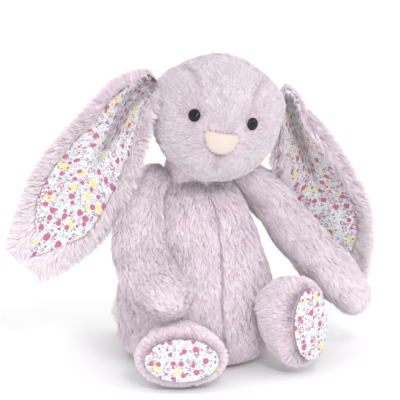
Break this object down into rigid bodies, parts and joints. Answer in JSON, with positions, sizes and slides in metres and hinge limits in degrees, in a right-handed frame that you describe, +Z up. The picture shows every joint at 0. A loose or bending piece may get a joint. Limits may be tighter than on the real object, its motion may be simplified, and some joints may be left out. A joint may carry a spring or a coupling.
{
  "type": "stuffed rabbit toy",
  "caption": "Sitting plush rabbit with long hanging ears, printed cotton ear linings and foot pads, stitched limbs that swing, and a pellet-weighted seat.",
  "frame": {"origin": "middle of the flat patch under the torso, on the surface it sits on", "axes": "+Z up, belly faces -Y, the rabbit's own left side is +X"},
  "size_m": [0.2636, 0.181, 0.228],
  "materials": {
    "lilac_plush": "dense cut pile plush, brushed downwards",
    "tail_plush": "longer off-white pile",
    "printed_cotton": null,
    "nose_suede": "brushed suede cloth",
    "eye_plastic": "polished",
    "washer_plastic": "moulded",
    "wadding": "loose polyester fibre",
    "pouch_cloth": "plain woven pouch filled with plastic pellets"
  },
  "bodies": {
    "torso": {"body_left_panel": "lilac_plush", "body_right_panel": "lilac_plush", "body_stuffing": "wadding", "pellet_pouch": "pouch_cloth", "tail_plush": "tail_plush", "tail_stuffing": "wadding"},
    "head": {"head_left_panel": "lilac_plush", "head_right_panel": "lilac_plush", "head_gusset": "lilac_plush", "head_stuffing": "wadding", "nose": "nose_suede", "left_eye": "eye_plastic", "right_eye": "eye_plastic", "left_eye_washer": "washer_plastic", "right_eye_washer": "washer_plastic"},
    "left_ear": {"left_ear_plush": "lilac_plush", "left_ear_lining": "printed_cotton"},
    "right_ear": {"right_ear_plush": "lilac_plush", "right_ear_lining": "printed_cotton"},
    "left_arm": {"left_arm_plush": "lilac_plush", "left_arm_stuffing": "wadding"},
    "right_arm": {"right_arm_plush": "lilac_plush", "right_arm_stuffing": "wadding"},
    "left_leg": {"left_leg_plush": "lilac_plush", "left_leg_stuffing": "wadding", "left_foot_pad": "printed_cotton"},
    "right_leg": {"right_leg_plush": "lilac_plush", "right_leg_stuffing": "wadding", "right_foot_pad": "printed_cotton"}
  },
  "joints": [
    {"name": "neck_nod", "type": "hinge", "parent": "torso", "child": "head", "pos_m": [0.001, -0.017, 0.14], "axis": [1, 0, 0], "range_deg": [0, 14]},
    {"name": "left_ear_lift", "type": "hinge", "parent": "head", "child": "left_ear", "pos_m": [0.052, -0.046, 0.196], "axis": [-0.4068, -0.9135, 0], "range_deg": [0, 60]},
    {"name": "right_ear_lift", "type": "hinge", "parent": "head", "child": "right_ear", "pos_m": [-0.036, -0.019, 0.213], "axis": [0.4068, 0.9135, 0], "range_deg": [0, 60]},
    {"name": "left_shoulder", "type": "hinge", "parent": "torso", "child": "left_arm", "pos_m": [0.041, -0.004, 0.133], "axis": [-1, 0, 0], "range_deg": [0, 50]},
    {"name": "right_shoulder", "type": "hinge", "parent": "torso", "child": "right_arm", "pos_m": [-0.041, -0.007, 0.133], "axis": [-1, 0, 0], "range_deg": [0, 50]},
    {"name": "left_hip", "type": "hinge", "parent": "torso", "child": "left_leg", "pos_m": [0.033, -0.054, 0.029], "axis": [0, 0, 1], "range_deg": [-12, 14]},
    {"name": "right_hip", "type": "hinge", "parent": "torso", "child": "right_leg", "pos_m": [-0.032, -0.053, 0.023], "axis": [0, 0, -1], "range_deg": [-12, 14]}
  ]
}
